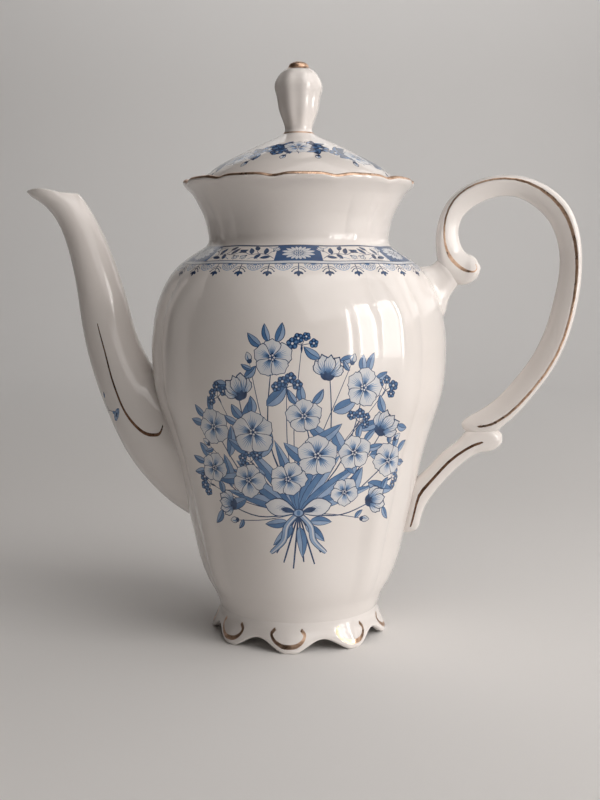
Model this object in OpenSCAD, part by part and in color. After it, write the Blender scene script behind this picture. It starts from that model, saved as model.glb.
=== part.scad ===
// Tall porcelain teapot with a loose lid.
// Axis of the pot on Z, table at z = 0, spout towards -X, handle towards +X.
// Apart from the turn of its rim, the pot mirrors across the plane y = 0. All sizes in millimetres.

/* [Vessel] */
// Radius of the belly at its widest
belly_r = 64.8; // [60:0.1:70]
// Height of the widest part of the belly
belly_z = 126; // [118:1:134]
// Radius of the waist above the foot
waist_r = 35.2; // [32:0.1:38]
// Height of the waist, where the foot is luted on
waist_z = 12.5; // [10:0.5:15]
// Radius of the neck at its narrowest
neck_r = 39.2; // [38.5:0.1:42]
// Height of the narrowest part of the neck
neck_z = 173.5; // [170:0.5:176]
// Radius of the rim over its rounded lip
rim_r = 50.3; // [49.5:0.1:54]
// Height of the crest of the rim
rim_z = 199.1; // [198:0.1:203]
// Thickness of the rounded lip at the rim
lip_t = 5; // [4:0.1:5.6]
// Thickness of the vessel wall
wall = 4; // [3.4:0.1:5]
// Thickness of the vessel floor
floor_t = 4; // [3:0.5:6]
// Depth of the valleys between the body panels
valley = 1.6; // [0.4:0.1:2]
// Angle from the front to the middle of a narrow panel
panel_a = 48.75; // [45:0.25:52]
// Angle that a narrow panel spans
panel_w = 22.5; // [18:0.5:28]
// Number of waves round the rim
rim_waves = 12; // [8:1:16]
// Turn of the rim's waves from the front
rim_turn = -6; // [-15:1:15]
// Drop of the rim in each wave
rim_drop = 0.9; // [0.2:0.1:1.8]

/* [Lid seat] */
// Height of the ledge that the lid rests on
seat_z = 194.5; // [193:0.1:195.5]
// Radius of the recess round the lid's edge
seat_r = 43.3; // [42:0.1:44.5]
// Radius of the mouth below the ledge
mouth_r = 36.6; // [35.9:0.1:38]

/* [Strainer] */
// Diameter of one strainer hole
hole_d = 3.6; // [2.4:0.1:4]
// Distance between neighbouring strainer holes
hole_pitch = 7.5; // [6:0.1:10]
// Height of the middle strainer hole
hole_z = 80; // [76:1:88]

/* [Foot] */
// Radius of the foot over its scallops
foot_r = 38.9; // [37:0.1:42]
// Number of scallops
scallops = 8; // [6:1:10]
// Height of the arches between the scallops
arch_h = 5.2; // [2:0.1:7]
// Thickness of the foot's hem
hem_t = 2.6; // [2:0.1:3.4]

/* [Spout] */
// Reach of the beak from the pot's axis
beak_x = 122.2; // [116:0.1:130]
// Height of the beak
beak_z = 195.2; // [190:0.1:200]
// Height at which the spout's upper side meets the body
spout_top_z = 117; // [112:1:122]
// Height at which the spout's lower side meets the body
spout_low_z = 50; // [46:1:56]
// Width of the spout at the body
spout_w = 40; // [34:0.5:42]
// Thickness of the spout's wall
spout_t = 2.4; // [1.8:0.1:3]

/* [Handle] */
// Reach of the handle from the pot's axis
handle_x = 121.9; // [116:0.1:130]
// Height of the top of the handle's loop
handle_z = 200.9; // [196:0.1:206]
// How far the near side of the handle's scroll stands out past the shoulder
scroll_out = 1.1; // [0.5:0.1:3]
// Height of the seat of the loop on its bracket
knuckle_z = 88; // [86:0.5:92]
// Height of the bracket's lower end on the body
bracket_z = 44.4; // [40:0.2:48]
// Width of the handle, front to back
handle_w = 10.5; // [8:0.1:13]
// Depth that the handle's ends sink into the slip of the body
luting = 1.5; // [0.8:0.1:2]

/* [Lid] */
// Gap round the lid's edge in its recess
lid_gap = 0.7; // [0.4:0.1:1.2]
// Gap round the lid's flange in the mouth
flange_gap = 0.8; // [0.5:0.1:2]
// Depth of the flange below the seat
flange_h = 15; // [10:0.5:20]
// Thickness of the lid
lid_t = 3; // [2.4:0.1:3.6]
// Height of the lid's crown above the seat
crown_h = 24.4; // [20:0.1:28]
// Radius of the crown where the knob is luted on
crown_r = 7; // [6.5:0.1:8]
// Radius of the knob
knob_r = 10.7; // [9:0.1:13]
// Height of the knob
knob_h = 31.1; // [26:0.1:36]
// Number of soft flutes round the knob
flutes = 8; // [6:1:10]

/* [Hidden] */

porcelain = "#ece8e4";
sides = 96;
$fn = 96;

// ---- Curves and shells ----

// Catmull-Rom curve through the points, with n steps to each stretch
function curve_step(a, b, c, d, t) =
    0.5 * (2 * b + (c - a) * t + (2 * a - 5 * b + 4 * c - d) * t * t
           + (3 * b - a - 3 * c + d) * t * t * t);
function curve(pts, n) =
    let (last = len(pts) - 1)
    [for (i = [0:last - 1], k = [0:n - 1])
        curve_step(pts[max(i - 1, 0)], pts[i], pts[i + 1], pts[min(i + 2, last)], k / n),
     pts[last]];

// Point that lies the shares u and v of the way from a to b
function share(a, b, u, v) = [a[0] + (b[0] - a[0]) * u, a[1] + (b[1] - a[1]) * v];

// Solid skin over a list of rings that have equally many points. Closed makes a tube of the
// last ring and the first, otherwise both end rings are capped.
module skin(rings, closed = false) {
    n = len(rings[0]);
    m = len(rings);
    rows = closed ? m : m - 1;
    quads = [for (i = [0:rows - 1], j = [0:n - 1])
        let (k = (j + 1) % n, next = ((i + 1) % m) * n, this = i * n)
        each [[this + j, this + k, next + k], [this + j, next + k, next + j]]];
    caps = closed ? [] : [[for (j = [n - 1:-1:0]) j], [for (j = [0:n - 1]) (m - 1) * n + j]];
    polyhedron(points = [for (r = rings) each r], faces = concat(quads, caps), convexity = 10);
}

// ---- Vessel ----

// Dip between panels: 0 on the crown of a panel, 1 in a valley.
// Angle 0 is the front, towards -Y, and the narrow panels lie between the wide ones.
function panel_share(a) =
    let (b = abs(((a + 360) % 180) - 90), off = abs(90 - b - panel_a))
    off < panel_w / 2 ? off / (panel_w / 2)
    : 90 - b < panel_a ? (90 - b) / (panel_a - panel_w / 2)
    : b / (90 - panel_a - panel_w / 2);
function panel_dip(a) = pow(panel_share(a), 2);

// Wave of the rim: 0 on a crest, 1 in a dip
function rim_dip(a) = pow((1 + cos((a - rim_turn) * rim_waves)) / 2, 4);

// Outer profile from the waist to the lip, as [radius, height, share of the valleys' depth, share
// of the rim's waves]
waist = [waist_r, waist_z];
belly = [belly_r, belly_z];
neck = [neck_r, neck_z];
lip = [rim_r, rim_z - 0.36 * lip_t];
function with_dip(p, dip, wave = 0) = [p[0], p[1], dip, wave];
lower_shape = [[0.07, 0.05, 0.1], [0.2, 0.11, 0.4], [0.305, 0.183, 0.7], [0.385, 0.27, 0.9],
               [0.51, 0.41, 1], [0.592, 0.507, 1], [0.683, 0.608, 1], [0.82, 0.727, 1],
               [0.918, 0.806, 1], [0.975, 0.885, 1]];
upper_shape = [[0.02, 0.15, 1], [0.06, 0.31, 1], [0.125, 0.44, 0.9], [0.22, 0.56, 0.75],
               [0.33, 0.665, 0.5], [0.47, 0.755, 0.3], [0.63, 0.825, 0.2], [0.82, 0.893, 0.2],
               [0.96, 0.945, 0.25]];
neck_shape = [[0.054, 0.171, 0.4, 0], [0.135, 0.347, 0.35, 0], [0.261, 0.49, 0.3, 0],
              [0.414, 0.633, 0.2, 0], [0.57, 0.767, 0.1, 0], [0.75, 0.87, 0, 0.25],
              [0.93, 0.945, 0, 0.6]];
outer_profile = concat(
    [with_dip(waist, 0)],
    [for (s = lower_shape) with_dip(share(waist, belly, s[0], s[1]), s[2])],
    [with_dip(belly, 1)],
    [for (s = upper_shape) with_dip(share(belly, neck, s[0], s[1]), s[2])],
    [with_dip(neck, 0.4)],
    [for (s = neck_shape) with_dip(share(neck, lip, s[0], s[1]), s[2], s[3])],
    [with_dip(lip, 0, 0.85)]);

// Radius of the smooth outer surface at a height
radius_table = [for (p = outer_profile) [p[1], p[0]]];
function body_r(z) = lookup(z, radius_table);
dip_table = [for (p = outer_profile) [p[1], p[2]]];
// Distance from the axis to the panelled surface, at an angle from the front
function wall_r(a, z) = body_r(z) - valley * lookup(z, dip_table) * panel_dip(a);

// Point of the outer wall beside the plane y = 0, sunk by an amount, on the side given by +1 or -1
function on_wall(side, y, z, sunk) =
    let (r = wall_r(90 - asin(y / body_r(z)), z) - sunk)
    [side * sqrt(r * r - y * y), y, z];

// Ring of the vessel through a profile point
rim_in = 0.12 * lip_t;
function vessel_ring(p) =
    [for (j = [0:sides - 1])
        let (a = 360 * j / sides,
             wave = p[3] * rim_dip(a),
             r = p[0] - valley * p[2] * panel_dip(a) - rim_in * wave)
        [r * sin(a), -r * cos(a), p[1] - rim_drop * wave]];

lip_rings = [for (s = [[0, -0.25, 1], [-0.14, -0.08, 1], [-0.4, 0, 1], [-0.72, -0.12, 1],
                       [-1, -0.4, 0.6]])
    [rim_r + lip_t * s[0], rim_z + lip_t * s[1], 0, s[2]]];
inner_r = neck_r - wall;
ledge_h = 6;
no_dips = [0, 0];
seat_rings = [for (p = [[seat_r, seat_z + 1.2], [seat_r, seat_z], [mouth_r, seat_z],
                        [mouth_r, seat_z - ledge_h]]) concat(p, no_dips)];
cavity_low = waist_z + floor_t;
inside_shape = [for (i = [len(outer_profile) - 1:-1:0])
    let (p = outer_profile[i]) if (p[1] <= neck_z && p[1] >= cavity_low + 6) p];
cavity_rings = [for (p = concat(
    [for (i = [0:2:len(inside_shape) - 1]) [inside_shape[i][0] - wall, inside_shape[i][1]]],
    [[waist_r - wall, cavity_low + 1.5], [waist_r - wall - 5, cavity_low]])) concat(p, no_dips)];

module vessel() {
    rings = concat(outer_profile, lip_rings, seat_rings, cavity_rings);
    skin([for (p = rings) vessel_ring(p)]);
}

// Holes pierced through the wall behind the spout, one in the middle and a ring of six
run_out = 6;
module strainer_holes() {
    spots = concat([[0, 0]],
                   [for (i = [0:5]) hole_pitch * [cos(60 * i), sin(60 * i)]]);
    for (s = spots)
        translate([-body_r(hole_z) - run_out, s[0], hole_z + s[1]])
            rotate([0, 90, 0])
                cylinder(h = wall + 2 * run_out, d = hole_d, $fn = 32);
}

module pot_body() {
    color(porcelain)
    difference() {
        vessel();
        strainer_holes();
    }
}

// ---- Foot ----

// Share of the arch's height at an angle: 0 under a scallop, 1 in an arch. Each scallop is
// ground flat over the small share at its bottom.
function arch_share(a) = (1 - cos(a * scallops)) / 2;
flat_share = 0.07;
function hem_z(a) = arch_h * max(0, arch_share(a) - flat_share) / (1 - flat_share);

// Ring of the foot: radius, height on a scallop, share of the arch's lift, pull-in at the arches
function foot_ring_points(p) =
    [for (j = [0:sides - 1])
        let (a = 360 * j / sides, r = p[0] - p[3] * arch_share(a))
        [r * sin(a), -r * cos(a), p[1] + p[2] * hem_z(a)]];

module foot_ring() {
    inner = waist_r - wall;
    flare = foot_r - waist_r;
    color(porcelain)
    skin([for (p = [
        [waist_r, waist_z, 0, 0],
        [waist_r + 0.08 * flare, waist_z * 0.84, 0.05, 0.3],
        [waist_r + 0.3 * flare, waist_z * 0.66, 0.2, 1.0],
        [waist_r + 0.62 * flare, waist_z * 0.46, 0.45, 1.8],
        [waist_r + 0.88 * flare, waist_z * 0.27, 0.68, 2.3],
        [foot_r, waist_z * 0.12, 0.85, 2.5],
        [foot_r - 0.25, waist_z * 0.04, 0.95, 2.5],
        [foot_r - 0.8, 0, 1, 2.4],
        [foot_r - hem_t, 0, 1, 2.1],
        [foot_r - hem_t - 0.8, waist_z * 0.1, 0.9, 1.9],
        [inner + 1.5, waist_z * 0.5, 0.3, 0.4],
        [inner, waist_z * 0.8, 0, 0],
        [inner, waist_z, 0, 0]]) foot_ring_points(p)], closed = true);
}

// ---- Spout ----

// Sections as [under side x, z, upper side x, z, half width], from the lip down, where x is the
// distance from the pot's axis. They are drawn for the reach and heights of spout_drawn.
spout_drawn = [122.2, 195.2, 64.4, 117, 50];
spout_sections = [
    [122.2, 195.2, 98.2, 193.7, 7.2], [120.2, 192.9, 97.2, 192.6, 7.8],
    [114.6, 189.9, 95.6, 190.6, 8.2], [109.4, 184.3, 93.6, 187.2, 8.4],
    [106, 178, 90.8, 182.6, 8.7], [103.2, 169.5, 87.4, 176, 9.1],
    [101, 160, 84.2, 168.3, 9.6], [99.5, 151.5, 81.4, 160.5, 10.1],
    [98.4, 142.5, 78.6, 151.7, 10.7], [97.2, 133.6, 76.1, 142.4, 11.4],
    [95.2, 124, 74, 133.2, 12.3], [92.4, 114, 71.2, 126.8, 13.5],
    [88.8, 103.5, 68.6, 121.5, 15], [83.8, 91.5, 66.9, 118.8, 16.6],
    [77, 77.5, 66.2, 117.6, 18], [67.5, 65.5, 65.8, 117.2, 19],
    [57.5, 56, 65.4, 117, 19.7]];

// Point of a section after the reach and heights that are set
function spout_point(x, z) =
    let (root = body_r(spout_top_z), d = spout_drawn,
         up = (beak_z - spout_top_z) / (d[1] - d[3]),
         down = (spout_top_z - spout_low_z) / (d[3] - d[4]))
    [-root - (x - d[2]) * (beak_x - root) / (d[0] - d[2]),
     spout_top_z + (z - d[3]) * (z > d[3] ? up : down)];
// Share of the drawn width after the width that is set
spout_wide = spout_w / 40;
spout_sides = 40;

// Ring across the spout, drawn in by t
function spout_ring(s, t) =
    let (under = spout_point(s[0], s[1]), upper = spout_point(s[2], s[3]),
         mid = (under + upper) / 2, half = (under - upper) / 2,
         k = 1 - t / norm(half))
    [for (j = [0:spout_sides - 1])
        let (a = 360 * j / spout_sides, p = mid + half * k * cos(a))
        [p[0], (s[4] * spout_wide - t) * sin(a), p[1]]];

// Ring where the spout meets the body, drawn in by t
function spout_root(t) =
    let (mid = (spout_top_z + spout_low_z) / 2, half = (spout_top_z - spout_low_z) / 2 - t)
    [for (j = [0:spout_sides - 1])
        let (a = 360 * j / spout_sides, w = (spout_w / 2 - t) * (1 + 0.12 * cos(a)))
        on_wall(-1, w * sin(a), mid - half * cos(a), luting / 2)];

// Rounded edge of the lip, raised towards the beak
lip_lift = 1.2;
function spout_lip(t, lift) =
    let (ring = spout_ring(spout_sections[0], t))
    [for (j = [0:spout_sides - 1])
        let (u = (1 + cos(360 * j / spout_sides)) / 2)
        ring[j] + [0, 0, lift + lip_lift * max(0, sin(270 * u - 90))]];

module spout() {
    last = len(spout_sections) - 1;
    color(porcelain)
    skin(concat(
        [spout_lip(0, 0)],
        [for (i = [1:last]) spout_ring(spout_sections[i], 0)],
        [spout_root(0), spout_root(spout_t)],
        [for (i = [last:-1:1]) spout_ring(spout_sections[i], spout_t)],
        [spout_lip(spout_t, 0), spout_lip(spout_t / 2, spout_t / 4)]),
        closed = true);
}

// ---- Handle ----

// Place of a drawn value after both ends of what was drawn have moved to where they are set
function between(v, drawn, set) =
    set[0] + (v - drawn[0]) * (set[1] - set[0]) / (drawn[1] - drawn[0]);

// The loop is drawn between these distances from the pot's axis, of the scroll's near side and
// the loop's far side, and these heights, of the knuckle and the loop's top
loop_drawn_x = [59.7, 121.9];
loop_drawn_z = [88, 200.9];
shoulder_z = belly_z + 0.58 * (neck_z - belly_z);
scroll_x = body_r(shoulder_z) + scroll_out;
function loop_point(x, z) =
    [between(x, loop_drawn_x, [scroll_x, handle_x]),
     between(z, loop_drawn_z, [knuckle_z, handle_z])];

// Ring across the handle between an outer and an inner edge in the plane y = 0. With a taper
// its sides lean together towards the inner edge, so that a ridge stands near the outer one.
handle_sides = 20;
function handle_ring(out, into, wide, taper = 0) =
    let (mid = (out + into) / 2, half = (out - into) / 2,
         w = handle_w * wide * (1 + 0.8 * taper) / 2)
    [for (j = [0:handle_sides - 1])
        let (a = 360 * j / handle_sides, c = cos(a), n = sin(a),
             across = sign(c) * pow(abs(c), 0.8), p = mid + half * across)
        [p[0], w * sign(n) * pow(abs(n), 0.7) * (1 - taper * (1 - across)), p[1]]];

// Sections of the loop as [outer edge x, z, inner edge x, z, share of the width],
// from the tip of the top scroll round to the lower end
loop_sections = [
    [79, 160.6, 78.2, 163.2, 0.45], [78, 157.6, 76.9, 165.4, 0.8], [75.2, 154.9, 75, 166.8, 1],
    [71, 153.8, 72.8, 167.7, 1], [65.8, 155.4, 71.2, 169.6, 1], [61.6, 160.6, 69.9, 172.9, 1],
    [59.7, 170, 69.4, 177, 1], [60.4, 180, 70.5, 181.8, 1], [64.2, 189.2, 73, 185.2, 1],
    [70.9, 195.7, 77.1, 188.3, 1], [79.7, 199.6, 82.6, 190.8, 1], [89.2, 200.9, 89.2, 191.9, 1],
    [99, 199.4, 96, 190.7, 1], [109.2, 194.3, 103.3, 186, 1], [116.8, 186, 108.9, 179.2, 1],
    [120.8, 174.5, 112, 170, 1], [121.9, 162, 112.5, 160.8, 1], [120.7, 148, 111, 150.5, 1],
    [116.9, 132.2, 107.4, 136, 1], [110.9, 118.5, 102.1, 124, 1], [103.4, 107.6, 95.1, 114, 1],
    [96, 98.6, 87.1, 105, 1], [90.7, 93.6, 79.9, 99.6, 1], [86.5, 90.3, 74.5, 96.4, 1],
    [79.5, 88.4, 71.8, 93.7, 0.8], [76, 88.7, 72.4, 91.2, 0.45]];

loop_taper = 0.3;

module handle_loop() {
    color(porcelain)
    skin([for (s = curve(loop_sections, 2))
        handle_ring(loop_point(s[0], s[1]), loop_point(s[2], s[3]), s[4], loop_taper)]);
}

// Place that lies sunk in the slip of the body's wall, at a height
function sunk(z) = [body_r(z) - luting, z];

// The bracket is drawn between these distances from the pot's axis, of the body and of the
// knuckle, and these heights, of its lower end and the knuckle
bracket_drawn_x = [48.2, 79.5];
bracket_drawn_z = [44.4, 88];
function bracket_height(z) = between(z, bracket_drawn_z, [bracket_z, knuckle_z]);
bracket_ends = [body_r(bracket_height(50)), loop_point(bracket_drawn_x[1], knuckle_z)[0]];
function bracket_point(x, z) =
    x == 0 ? sunk(bracket_height(z))
    : [between(x, bracket_drawn_x, bracket_ends), bracket_height(z)];

// Sections of the bracket, from the knuckle down into the body, where x = 0 stands for a place
// sunk in the body
bracket_sections = [
    [89.4, 88.4, 87, 91, 0.5], [89, 84.9, 81.8, 92.6, 0.95], [85, 81.7, 74.4, 90.6, 1],
    [78.5, 80.3, 70.3, 86.2, 1], [70.8, 74.6, 63.4, 80.6, 1], [62.6, 65.8, 56.6, 73, 1],
    [57.2, 58.2, 0, 67, 1], [54.9, 52.8, 0, 59, 0.95], [53.7, 47.9, 0, 51.5, 0.85],
    [51.6, 45.4, 0, 47, 0.7], [0, 44.4, 0, 45.4, 0.4]];

// A bracket section's two edges and its share of the width
function bracket_edges(s) =
    let (out = bracket_point(s[0], s[1]), into = bracket_point(s[2], s[3]))
    [out[0], out[1], into[0], into[1], s[4]];

module handle_bracket() {
    color(porcelain)
    skin([for (s = curve([for (b = bracket_sections) bracket_edges(b)], 2))
        handle_ring([s[0], s[1]], [s[2], s[3]], s[4])]);
}

// Sections of the pad under the top scroll, from inside the scroll down to the shoulder
boss_sections = [
    [70.6, 157, 63.6, 166, 0.8], [69.5, 154, 61, 165, 1], [68, 151.9, 59.4, 163.6, 1.05],
    [66.2, 149, 57.7, 162.5, 1.15], [65, 145.4, 55.8, 162.1, 1.3],
    [64.3, 142, 53.9, 161.9, 1.5]];
// Drawn heights of the pad's lower and upper end on the shoulder, and its share of the width there
boss_drawn_z = [138.5, 161.5];
boss_root_share = 1.7;

module handle_boss() {
    low = sunk(loop_point(0, boss_drawn_z[0])[1]);
    high = sunk(loop_point(0, boss_drawn_z[1])[1]);
    color(porcelain)
    skin([for (s = curve(concat(
            [for (b = boss_sections) concat(loop_point(b[0], b[1]), loop_point(b[2], b[3]), b[4])],
            [concat(low, high, boss_root_share)]), 2))
        handle_ring([s[0], s[1]], [s[2], s[3]], s[4])]);
}

// ---- Lid ----

lid_r = seat_r - lid_gap;
flange_r = min(mouth_r, inner_r) - flange_gap;
crown_z = seat_z + crown_h;
// Top of the lid from the crown out to the edge, as shares of the way out and down
lid_edge = [lid_r, seat_z + 3.2];
lid_top = curve(concat([[crown_r, crown_z]],
    [for (s = [[0.075, 0.065], [0.154, 0.123], [0.253, 0.195], [0.365, 0.283], [0.478, 0.382],
               [0.607, 0.49], [0.7, 0.572], [0.787, 0.657], [0.876, 0.765], [0.95, 0.877]])
        share([crown_r, crown_z], lid_edge, s[0], s[1])],
    [lid_edge]), 2);
lid_under = [for (i = [len(lid_top) - 1:-1:0])
    if (lid_top[i][0] < flange_r - lid_t - 1) lid_top[i] - [0, lid_t]];

module lid_cover() {
    color(porcelain)
    rotate_extrude(convexity = 6)
    polygon(concat(
        [[0, crown_z]], lid_top,
        [[lid_r, seat_z + 1], [lid_r - 0.8, seat_z],
         [flange_r, seat_z], [flange_r, seat_z - flange_h + 1], [flange_r - 1, seat_z - flange_h],
         [flange_r - lid_t, seat_z - flange_h], [flange_r - lid_t, seat_z]],
        lid_under, [[0, crown_z - lid_t - 1]]));
}

// Radius of the knob as shares of its widest, at shares of its height
knob_shape = [[0.655, 0], [0.6, 0.03], [0.565, 0.06], [0.575, 0.1], [0.61, 0.14], [0.68, 0.205],
              [0.76, 0.275], [0.82, 0.34], [0.86, 0.41], [0.89, 0.48], [0.935, 0.55], [0.98, 0.6],
              [1, 0.65], [0.98, 0.7], [0.92, 0.75], [0.8, 0.815], [0.66, 0.865], [0.5, 0.9],
              [0.42, 0.92], [0.4, 0.945], [0.33, 0.975], [0.15, 1]];
knob_sides = 32;
flute_d = 0.047 * knob_r;

module lid_knob() {
    color(porcelain)
    skin([for (s = knob_shape)
        let (flute = flute_d * min(1, 4 * s[1], 7 * max(0, 0.9 - s[1])))
        [for (j = [0:knob_sides - 1])
            let (a = 360 * j / knob_sides, r = knob_r * s[0] - flute * (1 + cos(flutes * a)) / 2)
            [r * sin(a), -r * cos(a), crown_z + knob_h * s[1]]]]);
}

pot_body();
foot_ring();
spout();
handle_loop();
handle_boss();
handle_bracket();
lid_cover();
lid_knob();
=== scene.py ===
"""Looks of the porcelain pot: glazed skins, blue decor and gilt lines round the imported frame.

Shapes are worked out in millimetres and turned into metres when a piece is made. Every glazed
skin is a surface at(u, v), laid out as a flat sheet in millimetres. Decor is drawn on the sheet
as outlines, which are cut into its triangles, so a painted line has its own faces and material.
"""

import math
import random

import bmesh
import bpy
import numpy as np
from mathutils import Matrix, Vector
from mathutils.geometry import delaunay_2d_cdt


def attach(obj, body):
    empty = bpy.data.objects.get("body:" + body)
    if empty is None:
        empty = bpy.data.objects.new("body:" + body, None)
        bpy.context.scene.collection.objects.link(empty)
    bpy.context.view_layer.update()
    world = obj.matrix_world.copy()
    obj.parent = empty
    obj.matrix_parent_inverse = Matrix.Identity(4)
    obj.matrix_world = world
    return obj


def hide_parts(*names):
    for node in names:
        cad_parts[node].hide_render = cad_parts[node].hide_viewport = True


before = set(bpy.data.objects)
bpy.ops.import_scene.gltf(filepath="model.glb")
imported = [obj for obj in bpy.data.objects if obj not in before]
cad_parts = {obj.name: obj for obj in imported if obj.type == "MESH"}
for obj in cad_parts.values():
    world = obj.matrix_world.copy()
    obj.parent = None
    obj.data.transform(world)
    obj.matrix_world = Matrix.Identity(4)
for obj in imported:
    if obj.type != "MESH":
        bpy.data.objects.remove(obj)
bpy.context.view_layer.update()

MM = 0.001
REF = 50.0          # radius at which a sheet that runs round the pot is laid out flat
HALF_TURN = math.pi * REF
PROBE = 0.15        # distance over which the slope of a skin is measured

# ---- Surfaces ----


def spline(points, t):
    """Points of the smooth curve through points, where t runs from 0 to len(points) - 1."""
    p = np.asarray(points, float)
    last = len(p) - 1
    t = np.clip(np.asarray(t, float), 0, last)
    i = np.minimum(t.astype(int), last - 1)
    f = (t - i)[..., None]
    a, b, c, d = (p[np.clip(i + k, 0, last)] for k in (-1, 0, 1, 2))
    return 0.5 * (2 * b + (c - a) * f + (2 * a - 5 * b + 4 * c - d) * f**2
                  + (3 * b - a - 3 * c + d) * f**3)


def lofted(rings, v):
    """Points of the eased surface along rings, each of which holds one point for every v. It
    starts and ends right on the first and last ring."""
    p = np.stack([2 * rings[0] - rings[1]] + rings + [2 * rings[-1] - rings[-2]])
    last = len(rings) - 1
    v = np.clip(np.asarray(v, float), 0, last)
    i = np.minimum(v.astype(int), last - 1)
    f = (v - i)[:, None]
    a, b, c, d = (p[i + k, np.arange(len(v))] for k in range(4))
    return (a * (1 - f)**3 + b * (3 * f**3 - 6 * f**2 + 4)
            + c * (3 * f + 3 * f**2 - 3 * f**3 + 1) + d * f**3) / 6


def lengths(points):
    """Length of the line through points from the first one to each of them."""
    return np.r_[0, np.cumsum(np.linalg.norm(np.diff(points, axis=0), axis=1))]


def along(points, step=0.1, samples=4000):
    """Table of a smooth curve at even steps of its length: lengths and points."""
    fine = spline(points, np.linspace(0, len(points) - 1, samples))
    s = lengths(fine[:, :2])
    even = np.linspace(0, s[-1], int(s[-1] / step) + 1)
    return even, np.stack([np.interp(even, s, fine[:, k]) for k in range(fine.shape[1])], 1)


def facing_up(outline):
    """The outline with its points in counterclockwise order."""
    x, y = outline.T
    return outline if np.dot(x, np.roll(y, -1)) >= np.dot(y, np.roll(x, -1)) else outline[::-1]


def cut(flat, us, rows, paint, slot):
    """Cut the flat points of a grid along painted outlines: points, faces and slots. Later
    outlines lie over earlier ones, and one that runs over a side goes on at the other side."""
    n, wide = len(us), us[-1] - us[0]
    border = (list(range(n)) + [i * n + n - 1 for i in range(1, rows)]
              + [rows * n - 1 - j for j in range(1, n)]
              + [i * n for i in range(rows - 2, 0, -1)])
    points, outlines, slot_of, start = [flat], [border], [slot], len(flat)
    for outline, painted in paint:
        o = facing_up(outline)
        shifts = [0.0]
        if o[:, 0].min() < us[0]:
            shifts.append(wide)
        if o[:, 0].max() > us[-1]:
            shifts.append(-wide)
        for shift in shifts:
            points.append(o + [shift, 0])
            outlines.append(list(range(start, start + len(o))))
            slot_of.append(painted)
            start += len(o)
    out = delaunay_2d_cdt([Vector(p) for p in np.concatenate(points)], [], outlines, 0, 1e-4)
    inside = [(tuple(f), slot_of[max(o)]) for f, o in zip(out[2], out[5]) if 0 in o]
    return np.array([p[:] for p in out[0]]), [f for f, _ in inside], [k for _, k in inside]


def sheet(at, us, vs, paint=(), inward=False, slot=0):
    """One skin: points, faces, material slots and shading normals of at(u, v) on the grid us, vs.
    paint is a list of (outline, slot)."""
    uu, vv = np.meshgrid(us, vs)
    flat = np.c_[uu.ravel(), vv.ravel()]
    n, rows = len(us), len(vs)
    if paint:
        flat, faces, slots = cut(flat, us, rows, paint, slot)
    else:
        faces = [(i * n + j, i * n + j + 1, (i + 1) * n + j + 1, (i + 1) * n + j)
                 for i in range(rows - 1) for j in range(n - 1)]
        slots = [slot] * len(faces)
    u, v = flat[:, 0], flat[:, 1]
    normal = np.cross(at(u + PROBE, v) - at(u - PROBE, v), at(u, v + PROBE) - at(u, v - PROBE))
    normal /= np.maximum(np.linalg.norm(normal, axis=1), 1e-12)[:, None]
    if inward:
        normal = -normal
        faces = [f[::-1] for f in faces]
    keep = [k for k, painted in enumerate(slots) if painted != HOLE]
    return at(u, v), [faces[k] for k in keep], [slots[k] for k in keep], normal


def add_object(name, data):
    """A new object in the scene."""
    made = bpy.data.objects.new(name, data)
    bpy.context.scene.collection.objects.link(made)
    return made


def make_piece(name, sheets, nodes, body):
    """A piece of the pot made of skins that join where their edges meet."""
    bm = bmesh.new()
    shade = bm.loops.layers.float_vector.new("shade")
    for points, faces, slots, normals in sheets:
        verts = [bm.verts.new(p) for p in points * MM]
        for f, s in zip(faces, slots):
            face = bm.faces.new([verts[i] for i in f])
            face.material_index = s
            face.smooth = True
            for loop, i in zip(face.loops, f):
                loop[shade] = normals[i]
    bmesh.ops.remove_doubles(bm, verts=bm.verts, dist=3e-6)
    bmesh.ops.dissolve_degenerate(bm, dist=1e-7, edges=bm.edges)
    loose = [v for v in bm.verts if not v.link_faces]
    bmesh.ops.delete(bm, geom=loose, context="VERTS")
    mesh = bpy.data.meshes.new(name)
    bm.to_mesh(mesh)
    bm.free()
    layer = mesh.attributes["shade"]
    normals = np.zeros(len(mesh.loops) * 3)
    layer.data.foreach_get("vector", normals)
    mesh.attributes.remove(layer)
    mesh.normals_split_custom_set(normals.reshape(-1, 3).tolist())
    for finish in FINISHES:
        mesh.materials.append(finish)
    piece = add_object(name, mesh)
    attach(piece, body)
    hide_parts(*nodes)


def turns(count):
    """Even places once round a sheet that runs round the pot, from under the spout."""
    return np.linspace(-HALF_TURN / 2, 1.5 * HALF_TURN, count + 1)


ROUND_POT, ROUND_LID, ROUND_KNOB = turns(240), turns(180), turns(96)


# ---- Painting ----
# A motif is a list of (outline, slot) in millimetres round (0, 0), with y up the pot.

# The last slot is the same gilt painted darker, as painted shade.
WHITE, DARK, COBALT, MID, PALE, TINT, GILT, SHADED_GILT = range(8)
HOLE = -1           # faces of this slot are left out
LINE = 0.28         # width of a fine painted line


def polar(r, degrees):
    return np.array([r * math.cos(math.radians(degrees)), r * math.sin(math.radians(degrees))])


def stroke(points, width, ends=0.35, steps=5):
    """Outline of a brush line along the smooth curve through points, thinner at its ends. width
    is one number or one for each point."""
    c = spline(points, np.linspace(0, len(points) - 1, (len(points) - 1) * steps + 1))
    d = np.gradient(c, axis=0)
    d /= np.linalg.norm(d, axis=1)[:, None]
    side = np.c_[-d[:, 1], d[:, 0]]
    share = np.linspace(0, 1, len(c))
    swell = np.sin(np.pi * share) ** 0.5
    width = np.interp(share, np.linspace(0, 1, np.size(width)), np.ravel(width))
    w = (width / 2 * (ends + (1 - ends) * swell))[:, None]
    return np.r_[c + side * w, (c - side * w)[::-1]]


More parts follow.
